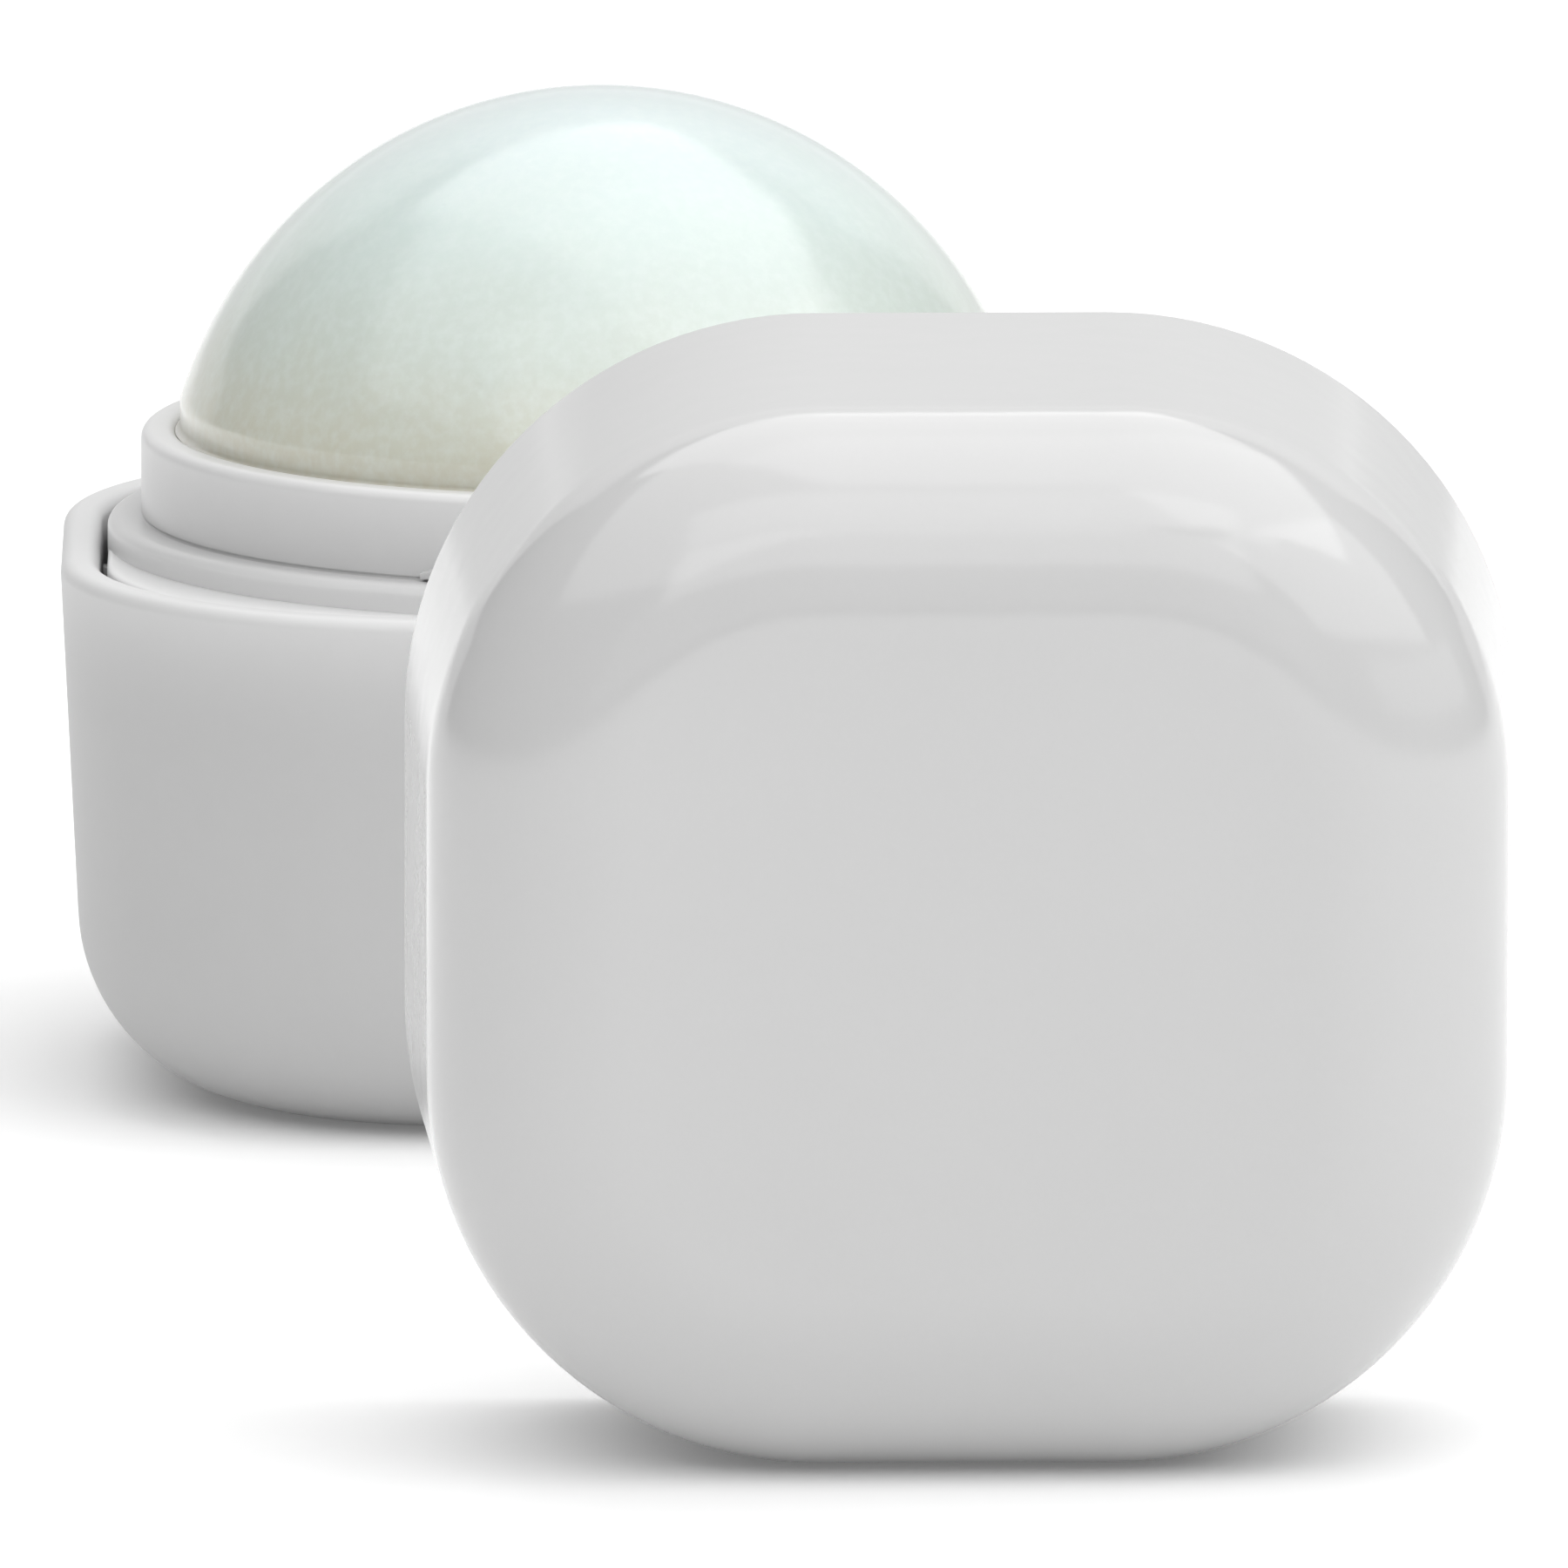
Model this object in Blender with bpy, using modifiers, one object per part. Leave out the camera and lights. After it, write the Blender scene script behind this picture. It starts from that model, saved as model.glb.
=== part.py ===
"""Lip balm cube, with its cap taken off and stood on its side in front of the base.

The base is a drafted rounded-square cup. A neck insert closes it and carries the round collar with a
two-start thread. The balm is cast on an anchor that clips into the insert. The cap is the mirror of the
base, with a domed liner inside. Metres, +Z up, origin at the centre of the base's foot.
"""

import math

import bmesh
import bpy
from mathutils import Matrix

MM = 0.001
DEGREE = math.pi / 180.0
QUARTER_TURN = math.pi / 2

# Driving sizes of the cube
RIM_HALF_WIDTH = 19.0 * MM
CORNER_RADIUS = 14.0 * MM
BASE_HEIGHT = 19.0 * MM
END_FILLET = 6.75 * MM
WALL = 1.35 * MM
DRAFT = 2.8 * DEGREE
RIM_ROUND = 0.35 * MM

# Gaps between neighbouring pieces
PARTING_GAP = 0.15 * MM
SEAT_GAP = 0.3 * MM
BALM_GAP = 0.25 * MM
THREAD_CLEARANCE = 0.1 * MM
THREAD_PLAY = 0.3 * MM
DOME_CLEARANCE = 0.7 * MM
CROWN_AIR = 0.57 * MM

# Neck insert
NECK_SLOT = 0.55 * MM
STEP_SLOT = 0.35 * MM
FLANGE_DROP = 0.2 * MM
FLANGE_THICKNESS = 1.2 * MM
FLANGE_ROUND = 0.2 * MM
STEP_HEIGHT = 1.0 * MM
STEP_LAP = 0.3 * MM
STEP_ROUND = 0.45 * MM
STEP_LEDGE = 1.1 * MM
COLLAR_HEIGHT = 3.1 * MM
COLLAR_WALL = 1.25 * MM
COLLAR_ROUND = 0.4 * MM
FOOT_FILLET = 0.15 * MM
BARREL_DEPTH = 2.1 * MM
SHELF_WIDTH = 1.75 * MM
SHELF_THICKNESS = 1.0 * MM

# Two-start thread: long ridges on the collar, and short ones in the liner that catch under them
RIDGE_STARTS = 2
RIDGE_HEIGHT = 0.45 * MM
RIDGE_THICKNESS = 0.6 * MM
RIDGE_FLANK = 0.12 * MM
RIDGE_ROOT = 0.3 * MM
RIDGE_LEAD = 8.0 * MM
RIDGE_BEARING = -112.6 * DEGREE
COLLAR_RIDGE_SPAN = 85.0 * DEGREE
LINER_RIDGE_FROM = 58.0 * DEGREE
LINER_RIDGE_TO = 84.0 * DEGREE
RIDGE_TAPER_SHARE = 0.12
RIDGE_TIP_SHARE = 0.55

# Balm
DOME_BULGE = 0.93 * MM
DOME_CENTRE_RISE = 0.1 * MM
BALM_CHAMFER = 0.3 * MM

# Balm anchor
ANCHOR_THICKNESS = 1.0 * MM
POST_RADIUS = 1.9 * MM
POST_HEIGHT = 7.5 * MM
FIN_HEIGHT = 4.5 * MM
FIN_THICKNESS = 1.0 * MM
FIN_MARGIN = 4.6 * MM
HOLE_COUNT = 4
HOLE_RADIUS = 1.7 * MM
HOLE_INSET = 5.2 * MM
CLIP_WALL = 0.8 * MM
CLIP_LIP = 0.45 * MM
CLIP_LIP_HEIGHT = 0.8 * MM
CLIP_SLOT = 11.0 * MM

# Cap liner
LINER_WALL = 0.8 * MM

# Ribs that carry the insert in the base and stop the liner in the cap
RIB_THICKNESS = 1.0 * MM
RIB_OFFSET = 3.5 * MM
RIB_SINK_SHARE = 0.5

# Where the cap stands: the centre of its rim plane, and its turn about the vertical
CAP_ASIDE_X = 12.4 * MM
CAP_ASIDE_Y = -67.7 * MM
CAP_YAW = 1.1 * DEGREE

# How finely the round forms are divided
CORNER_SEGMENTS = 12
FILLET_SEGMENTS = 8
EDGE_SEGMENTS = 3
FOOT_SEGMENTS = 2
TURN_STEPS = 52
DOME_STEPS = 13
PIN_STEPS = 20
RIDGE_STEPS = 16
SMOOTH_ANGLE = 32.0 * DEGREE
FLAT_ANGLE = 0.5 * DEGREE

# How far a cutter runs past what it cuts, and the distance within which points are one
OVERRUN = 1.0 * MM
MERGE = 0.001 * MM

# Radii and half widths that follow
INNER_HALF_WIDTH = RIM_HALF_WIDTH - WALL
FLANGE_HALF_WIDTH = INNER_HALF_WIDTH - NECK_SLOT
STEP_RADIUS = INNER_HALF_WIDTH - STEP_SLOT
COLLAR_RADIUS = STEP_RADIUS - STEP_LEDGE
COLLAR_BORE = COLLAR_RADIUS - COLLAR_WALL
SHELF_BORE = COLLAR_BORE - SHELF_WIDTH
BALM_RADIUS = COLLAR_BORE - BALM_GAP
DOME_RADIUS = BALM_RADIUS + DOME_BULGE
FIN_REACH = BALM_RADIUS - FIN_MARGIN
LINER_BORE = COLLAR_RADIUS + RIDGE_HEIGHT + THREAD_CLEARANCE
LINER_DOME_INNER = DOME_RADIUS + DOME_CLEARANCE
LINER_DOME_OUTER = LINER_DOME_INNER + LINER_WALL

# Levels of the base, from its foot
FLANGE_TOP = BASE_HEIGHT - FLANGE_DROP
FLANGE_BOTTOM = FLANGE_TOP - FLANGE_THICKNESS
STEP_TOP = FLANGE_TOP + STEP_HEIGHT
COLLAR_TOP = STEP_TOP + COLLAR_HEIGHT
BARREL_BOTTOM = FLANGE_BOTTOM - BARREL_DEPTH
SHELF_TOP = BARREL_BOTTOM + SHELF_THICKNESS
ANCHOR_BOTTOM = SHELF_TOP + SEAT_GAP
ANCHOR_TOP = ANCHOR_BOTTOM + ANCHOR_THICKNESS
BALM_BOTTOM = ANCHOR_TOP + SEAT_GAP
DOME_CENTRE = BASE_HEIGHT + DOME_CENTRE_RISE
RIDGE_LEVEL = STEP_TOP + RIDGE_THICKNESS / 2

# Levels of the cap, from its rim plane towards its closed end
CAP_RIM = BASE_HEIGHT + PARTING_GAP
LINER_MOUTH = STEP_TOP - CAP_RIM + SEAT_GAP
LINER_SHOULDER = COLLAR_TOP - CAP_RIM + SEAT_GAP
LINER_PLUG_TOP = LINER_SHOULDER + LINER_WALL
LINER_RIDGE_LEVEL = RIDGE_LEVEL - CAP_RIM - RIDGE_THICKNESS - THREAD_PLAY
LINER_DOME_CENTRE = DOME_CENTRE - CAP_RIM
CAP_HEIGHT = LINER_DOME_CENTRE + LINER_DOME_OUTER + CROWN_AIR + WALL


def new_collection(name):
    collection = bpy.data.collections.new(name)
    bpy.context.scene.collection.children.link(collection)
    return collection


def new_material(name, colour, roughness, translucency=0.0):
    """A plastic or wax; a little light gets into both."""
    material = bpy.data.materials.new(name)
    material.use_nodes = True
    shader = material.node_tree.nodes["Principled BSDF"]
    shader.inputs["Base Color"].default_value = (*colour, 1.0)
    shader.inputs["Roughness"].default_value = roughness
    shader.inputs["Metallic"].default_value = 0.0
    shader.inputs["Subsurface Weight"].default_value = translucency
    shader.inputs["Subsurface Scale"].default_value = WALL
    material.diffuse_color = (*colour, 1.0)
    return material


def add_part(name, mesh, material, parent=None):
    part = bpy.data.objects.new(name, mesh)
    parts.objects.link(part)
    part.parent = parent
    mesh.materials.append(material)
    return part


def add_tool(name, mesh, part):
    """A shape that a Boolean cuts from its part or joins to it, in that part's own frame."""
    tool = bpy.data.objects.new(name, mesh)
    cutters.objects.link(tool)
    tool.parent = part
    tool.hide_render = True
    tool.display_type = "WIRE"
    return tool


def mesh_from(bm, name):
    mesh = bpy.data.meshes.new(name)
    bm.to_mesh(mesh)
    bm.free()
    return mesh


def boolean(part, tool, operation):
    step = part.modifiers.new(tool.name, "BOOLEAN")
    step.operation = operation
    step.object = tool
    step.solver = "EXACT"


def cut(part, tool):
    boolean(part, tool, "DIFFERENCE")


def join(part, tool):
    boolean(part, tool, "UNION")


def round_edges(part, name, width, segments, sharper_than):
    step = part.modifiers.new(name, "BEVEL")
    step.width = width
    step.segments = segments
    step.limit_method = "ANGLE"
    step.angle_limit = sharper_than
    step.use_clamp_overlap = False


def turn(owner, steps):
    """Turns an object's profile once round Z."""
    step = owner.modifiers.new("turn", "SCREW")
    step.axis = "Z"
    step.angle = 2 * math.pi
    step.steps = steps
    step.render_steps = steps
    step.use_merge_vertices = True
    step.merge_threshold = MERGE


def shading_nodes():
    """Nodes that shade a part smooth, but keep an edge sharp where its faces turn past SMOOTH_ANGLE."""
    tree = bpy.data.node_groups.new("smooth_by_angle", "GeometryNodeTree")
    tree.interface.new_socket("Geometry", in_out="INPUT", socket_type="NodeSocketGeometry")
    tree.interface.new_socket("Geometry", in_out="OUTPUT", socket_type="NodeSocketGeometry")
    start = tree.nodes.new("NodeGroupInput")
    end = tree.nodes.new("NodeGroupOutput")
    faces = tree.nodes.new("GeometryNodeSetShadeSmooth")
    faces.domain = "FACE"
    edges = tree.nodes.new("GeometryNodeSetShadeSmooth")
    edges.domain = "EDGE"
    edges.inputs["Shade Smooth"].default_value = False
    angle = tree.nodes.new("GeometryNodeInputMeshEdgeAngle")
    sharp = tree.nodes.new("FunctionNodeCompare")
    sharp.operation = "GREATER_THAN"
    sharp.inputs["B"].default_value = SMOOTH_ANGLE
    tree.links.new(start.outputs["Geometry"], faces.inputs["Geometry"])
    tree.links.new(faces.outputs["Geometry"], edges.inputs["Geometry"])
    tree.links.new(angle.outputs["Unsigned Angle"], sharp.inputs["A"])
    tree.links.new(sharp.outputs["Result"], edges.inputs["Selection"])
    tree.links.new(edges.outputs["Geometry"], end.inputs["Geometry"])
    return tree


def shade(part):
    step = part.modifiers.new("smooth_by_angle", "NODES")
    step.node_group = smooth_by_angle


def arc(centre, radius, start, end, steps):
    """Points along an arc in a plane; angles run from its first axis towards its second."""
    points = []
    for i in range(steps + 1):
        angle = start + (end - start) * i / steps
        points.append((centre[0] + radius * math.cos(angle), centre[1] + radius * math.sin(angle)))
    return points


def rounded_square(half_width, radius):
    """The outline, anticlockwise, of a square with round corners."""
    radius = min(radius, half_width)
    inset = half_width - radius
    points = []
    for corner in range(4):
        angle = corner * QUARTER_TURN
        cosine = round(math.cos(angle))
        sine = round(math.sin(angle))
        centre = (inset * (cosine - sine), inset * (cosine + sine))
        points += arc(centre, radius, angle, angle + QUARTER_TURN, CORNER_SEGMENTS)
    return points


def profile_mesh(name, points, closed):
    """A profile of (radius, level) points in the XZ plane, ready to be turned."""
    bm = bmesh.new()
    corners = [bm.verts.new((radius, 0.0, level)) for radius, level in points]
    for a, b in zip(corners, corners[1:]):
        bm.edges.new((a, b))
    if closed:
        bm.edges.new((corners[-1], corners[0]))
    return mesh_from(bm, name)


def curve_mesh(name, curve):
    """A curve object made a closed mesh, with each flat face in as few pieces as can be."""
    guide = bpy.data.objects.new(name, curve)
    cutters.objects.link(guide)
    graph = bpy.context.evaluated_depsgraph_get()
    mesh = bpy.data.meshes.new_from_object(guide.evaluated_get(graph))
    bpy.data.objects.remove(guide, do_unlink=True)
    bm = bmesh.new()
    bm.from_mesh(mesh)
    bmesh.ops.remove_doubles(bm, verts=bm.verts, dist=MERGE)
    bmesh.ops.dissolve_limit(bm, angle_limit=FLAT_ANGLE, verts=bm.verts, edges=bm.edges)
    bmesh.ops.recalc_face_normals(bm, faces=bm.faces)
    bm.to_mesh(mesh)
    bm.free()
    return mesh


def poly_spline(curve, points, closed):
    spline = curve.splines.new("POLY")
    spline.points.add(len(points) - 1)
    for point, place in zip(spline.points, points):
        point.co = (*place, 1.0)
    spline.use_cyclic_u = closed
    return spline


def plate_mesh(name, outlines, thickness):
    """Flat outlines in the XY plane, the later ones holes in the first, given a thickness along Z."""
    curve = bpy.data.curves.new(name, "CURVE")
    curve.dimensions = "2D"
    curve.fill_mode = "BOTH"
    curve.extrude = thickness / 2
    for outline in outlines:
        poly_spline(curve, [(x, y, 0.0) for x, y in outline], closed=True)
    return curve_mesh(name, curve)


def block_mesh(name, size_x, size_y, bottom, top):
    bm = bmesh.new()
    bmesh.ops.create_cube(bm, size=1.0)
    bmesh.ops.scale(bm, vec=(size_x, size_y, top - bottom), verts=bm.verts)
    bmesh.ops.translate(bm, vec=(0.0, 0.0, (top + bottom) / 2), verts=bm.verts)
    return mesh_from(bm, name)


def pins_mesh(name, count, circle, radius, bottom, top):
    """Round pins on a circle, midway between the fins."""
    bm = bmesh.new()
    for i in range(count):
        angle = (i + 1 / 2) * 2 * math.pi / count
        centre = (circle * math.cos(angle), circle * math.sin(angle), (top + bottom) / 2)
        bmesh.ops.create_cone(
            bm,
            cap_ends=True,
            segments=PIN_STEPS,
            radius1=radius,
            radius2=radius,
            depth=top - bottom,
            matrix=Matrix.Translation(centre),
        )
    return mesh_from(bm, name)


def draft_inset(height):
    """How far a drafted wall moves in over a height."""
    return height * math.tan(DRAFT)


def lofted(rim_half_width, rim_radius, rim_level, end_level, end_open):
    """A drafted rounded-square form, widest at rim_level; end_open leaves the wide end open."""
    bm = bmesh.new()
    inset = draft_inset(abs(end_level - rim_level))
    sections = [
        (rim_half_width, rim_radius, rim_level),
        (rim_half_width - inset, rim_radius - inset, end_level),
    ]
    rings = []
    for half_width, radius, level in sections:
        corners = [bm.verts.new((x, y, level)) for x, y in rounded_square(half_width, radius)]
        rings.append([bm.edges.new(pair) for pair in zip(corners, corners[1:] + corners[:1])])
    bmesh.ops.bridge_loops(bm, edges=rings[0] + rings[1])
    bmesh.ops.contextual_create(bm, geom=rings[1])
    if not end_open:
        bmesh.ops.contextual_create(bm, geom=rings[0])
    bmesh.ops.recalc_face_normals(bm, faces=bm.faces)
    return bm


def cup(name, height, rib_top, rib_face, material, parent=None):
    """The drafted cup that base and cap share, standing on its closed end, with its ribs inside."""
    over = draft_inset(OVERRUN)
    surface = lofted(RIM_HALF_WIDTH + over, CORNER_RADIUS + over, height + OVERRUN, 0.0, end_open=True)
    shell = add_part(name, mesh_from(surface, name), material, parent)
    fillet_setback = END_FILLET * math.tan((QUARTER_TURN - DRAFT) / 2)
    round_edges(shell, "end_fillet", fillet_setback, FILLET_SEGMENTS, SMOOTH_ANGLE)

    thicken = shell.modifiers.new("wall", "SOLIDIFY")
    thicken.thickness = WALL
    thicken.offset = -1.0
    thicken.use_even_offset = True

    width = 2 * (RIM_HALF_WIDTH + OVERRUN)
    trim = block_mesh(name + "_rim_trim", width, width, height, height + 2 * OVERRUN)
    cut(shell, add_tool(name + "_rim_trim", trim, shell))
    round_edges(shell, "rim_round", RIM_ROUND, EDGE_SEGMENTS, SMOOTH_ANGLE)
    join(shell, add_tool(name + "_ribs", ribs_mesh(name + "_ribs", height, rib_top, rib_face), shell))
    shade(shell)
    return shell


def ribs_mesh(name, height, top, face):
    """Two upright ribs on each flat of a cup, running down into the fillet of its closed end."""
    sink = WALL * RIB_SINK_SHARE
    radius = END_FILLET - sink
    centre = (RIM_HALF_WIDTH - draft_inset(height - END_FILLET) - END_FILLET / math.cos(DRAFT), END_FILLET)
    back = RIM_HALF_WIDTH - draft_inset(height - top) - sink
    lowest = math.acos((face - centre[0]) / radius)
    outline = [(face, top), (back, top)] + arc(centre, radius, -DRAFT, -lowest, FILLET_SEGMENTS)
    rib = plate_mesh(name, [outline], RIB_THICKNESS)
    rib.transform(Matrix.Rotation(QUARTER_TURN, 4, "X"))

    bm = bmesh.new()
    for side in range(4):
        for offset in (-RIB_OFFSET, RIB_OFFSET):
            copy = rib.copy()
            copy.transform(Matrix.Rotation(side * QUARTER_TURN, 4, "Z") @ Matrix.Translation((0.0, offset, 0.0)))
            bm.from_mesh(copy)
            bpy.data.meshes.remove(copy)
    return mesh_from(bm, name)


def ridge_section(name, outward):
    """The cross-section of a thread ridge: its root sunk in the wall, its crest away from it."""
    curve = bpy.data.curves.new(name, "CURVE")
    curve.dimensions = "2D"
    root = RIDGE_THICKNESS / 2
    crest = root - RIDGE_FLANK
    points = [(-RIDGE_ROOT, -root), (RIDGE_HEIGHT, -crest), (RIDGE_HEIGHT, crest), (-RIDGE_ROOT, root)]
    poly_spline(curve, [(outward * x, outward * y, 0.0) for x, y in points], closed=True)
    section = bpy.data.objects.new(name, curve)
    cutters.objects.link(section)
    section.hide_render = True
    return section


def ridge_mesh(name, section, radius, level, start, end, bearing):
    """One helical ridge, thinning at both ends; start and end are turns from the thread's own start."""
    curve = bpy.data.curves.new(name, "CURVE")
    curve.dimensions = "3D"
    curve.twist_mode = "Z_UP"
    curve.bevel_mode = "OBJECT"
    curve.bevel_object = section
    curve.use_fill_caps = True
    places = []
    for i in range(RIDGE_STEPS + 1):
        turned = start + (end - start) * i / RIDGE_STEPS
        angle = bearing + turned
        height = level + RIDGE_LEAD * turned / (2 * math.pi)
        places.append((radius * math.cos(angle), radius * math.sin(angle), height))
    spline = poly_spline(curve, places, closed=False)
    for i, point in enumerate(spline.points):
        to_end = min(i, RIDGE_STEPS - i) / RIDGE_STEPS
        grown = min(1.0, to_end / RIDGE_TAPER_SHARE)
        point.radius = RIDGE_TIP_SHARE + (1.0 - RIDGE_TIP_SHARE) * math.sqrt(grown)
    return curve_mesh(name, curve)


def join_ridges(part, outward, radius, level, start, end):
    section = ridge_section(part.name + "_ridge_section", outward)
    for i in range(RIDGE_STARTS):
        bearing = RIDGE_BEARING + i * 2 * math.pi / RIDGE_STARTS
        name = f"{part.name}_ridge_{i + 1}"
        join(part, add_tool(name, ridge_mesh(name, section, radius, level, start, end, bearing), part))


def make_base_shell():
    cup("base_shell", BASE_HEIGHT, FLANGE_BOTTOM - SEAT_GAP, COLLAR_RADIUS + SEAT_GAP, satin_white)


def make_neck_insert():
    """Collar, step, barrel and shelf as one turned ring, joined to the flange, with the ridges added."""
    rim_level = COLLAR_TOP - COLLAR_ROUND
    profile = arc((COLLAR_RADIUS - COLLAR_ROUND, rim_level), COLLAR_ROUND, QUARTER_TURN, 0.0, EDGE_SEGMENTS)
    foot = (COLLAR_RADIUS + FOOT_FILLET, STEP_TOP + FOOT_FILLET)
    profile += arc(foot, FOOT_FILLET, math.pi, 3 * QUARTER_TURN, FOOT_SEGMENTS)
    shoulder = (STEP_RADIUS - STEP_ROUND, STEP_TOP - STEP_ROUND)
    profile += arc(shoulder, STEP_ROUND, QUARTER_TURN, 0.0, EDGE_SEGMENTS)
    profile += [
        (STEP_RADIUS, FLANGE_TOP - STEP_LAP),
        (COLLAR_RADIUS, FLANGE_TOP - STEP_LAP),
        (COLLAR_RADIUS, BARREL_BOTTOM),
        (SHELF_BORE, BARREL_BOTTOM),
        (SHELF_BORE, SHELF_TOP),
        (COLLAR_BORE, SHELF_TOP),
    ]
    profile += arc((COLLAR_BORE + COLLAR_ROUND, rim_level), COLLAR_ROUND, math.pi, QUARTER_TURN, EDGE_SEGMENTS)
    insert = add_part("neck_insert", profile_mesh("neck_insert", profile, closed=True), satin_white)
    turn(insert, TURN_STEPS)

    corner = CORNER_RADIUS - WALL - NECK_SLOT
    hole = arc((0.0, 0.0), (COLLAR_RADIUS + COLLAR_BORE) / 2, 0.0, 2 * math.pi, TURN_STEPS)[:-1]
    flange = plate_mesh("flange", [rounded_square(FLANGE_HALF_WIDTH, corner), hole], FLANGE_THICKNESS)
    plate = add_tool("flange", flange, insert)
    plate.location.z = (FLANGE_TOP + FLANGE_BOTTOM) / 2
    round_edges(plate, "flange_round", FLANGE_ROUND, 1, QUARTER_TURN / 2)
    join(insert, plate)
    join_ridges(insert, 1, COLLAR_RADIUS, RIDGE_LEVEL, 0.0, COLLAR_RIDGE_SPAN)
    shade(insert)


def fin_meshes(name, grow):
    """The two crossing plates that make four fins, each grown by the same amount all round."""
    length = 2 * (FIN_REACH + grow)
    thickness = FIN_THICKNESS + 2 * grow
    top = ANCHOR_TOP + FIN_HEIGHT + grow
    bottom = ANCHOR_BOTTOM + ANCHOR_THICKNESS / 2
    return [
        block_mesh(name + "_x", length, thickness, bottom, top),
        block_mesh(name + "_y", thickness, length, bottom, top),
    ]


def make_balm_anchor():
    """Disc, post and clip ring turned as one; fins joined; pour holes and the gaps between clips cut."""
    clip_outer = SHELF_BORE - SEAT_GAP
    lip_top = BARREL_BOTTOM - SEAT_GAP
    lip_bottom = lip_top - CLIP_LIP_HEIGHT
    profile = [
        (0.0, ANCHOR_TOP + POST_HEIGHT),
        (POST_RADIUS, ANCHOR_TOP + POST_HEIGHT),
        (POST_RADIUS, ANCHOR_TOP),
        (BALM_RADIUS, ANCHOR_TOP),
        (BALM_RADIUS, ANCHOR_BOTTOM),
        (clip_outer, ANCHOR_BOTTOM),
        (clip_outer, lip_top),
        (SHELF_BORE + CLIP_LIP, lip_top),
        (clip_outer, lip_bottom),
        (clip_outer - CLIP_WALL, lip_bottom),
        (clip_outer - CLIP_WALL, ANCHOR_BOTTOM),
        (0.0, ANCHOR_BOTTOM),
    ]
    anchor = add_part("balm_anchor", profile_mesh("balm_anchor", profile, closed=False), natural_plastic)
    turn(anchor, TURN_STEPS)
    for fin in fin_meshes("fin", 0.0):
        join(anchor, add_tool(fin.name, fin, anchor))
    circle = BALM_RADIUS - HOLE_INSET
    holes = pins_mesh("pour_holes", HOLE_COUNT, circle, HOLE_RADIUS, lip_bottom, ANCHOR_TOP + OVERRUN)
    cut(anchor, add_tool("pour_holes", holes, anchor))
    length = 2 * (clip_outer + CLIP_LIP + OVERRUN)
    for name, size_x, size_y in (("clip_gap_x", length, CLIP_SLOT), ("clip_gap_y", CLIP_SLOT, length)):
        gap = block_mesh(name, size_x, size_y, lip_bottom - OVERRUN, ANCHOR_BOTTOM)
        cut(anchor, add_tool(name, gap, anchor))
    shade(anchor)


def make_balm():
    """The dome runs down into a short cylinder, cast round the post and fins and through the pour holes."""
    drop = math.acos(BALM_RADIUS / DOME_RADIUS)
    profile = arc((0.0, DOME_CENTRE), DOME_RADIUS, QUARTER_TURN, drop, DOME_STEPS)
    profile[0] = (0.0, DOME_CENTRE + DOME_RADIUS)
    profile += [
        (BALM_RADIUS, BALM_BOTTOM + BALM_CHAMFER),
        (BALM_RADIUS - BALM_CHAMFER, BALM_BOTTOM),
        (0.0, BALM_BOTTOM),
    ]
    balm = add_part("balm", profile_mesh("balm", profile, closed=False), wax)
    turn(balm, TURN_STEPS)

    socket = [
        (0.0, ANCHOR_TOP + POST_HEIGHT + SEAT_GAP),
        (POST_RADIUS + SEAT_GAP, ANCHOR_TOP + POST_HEIGHT + SEAT_GAP),
        (POST_RADIUS + SEAT_GAP, BALM_BOTTOM - OVERRUN),
        (0.0, BALM_BOTTOM - OVERRUN),
    ]
    post_socket = add_tool("post_socket", profile_mesh("post_socket", socket, closed=False), balm)
    turn(post_socket, PIN_STEPS)
    cut(balm, post_socket)
    for fin in fin_meshes("fin_socket", SEAT_GAP):
        cut(balm, add_tool(fin.name, fin, balm))
    circle = BALM_RADIUS - HOLE_INSET
    keys = pins_mesh("keys", HOLE_COUNT, circle, HOLE_RADIUS - SEAT_GAP, ANCHOR_BOTTOM, BALM_BOTTOM + OVERRUN)
    join(balm, add_tool("keys", keys, balm))
    shade(balm)


def make_cap_shell(parent):
    stop = LINER_PLUG_TOP + SEAT_GAP
    rise = stop - LINER_DOME_CENTRE
    dome_there = math.sqrt(LINER_DOME_OUTER**2 - rise**2)
    shell = cup("cap_shell", CAP_HEIGHT, CAP_HEIGHT - stop, dome_there + SEAT_GAP, gloss_white, parent)
    shell.location.z = CAP_HEIGHT
    shell.rotation_euler.x = math.pi


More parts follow.
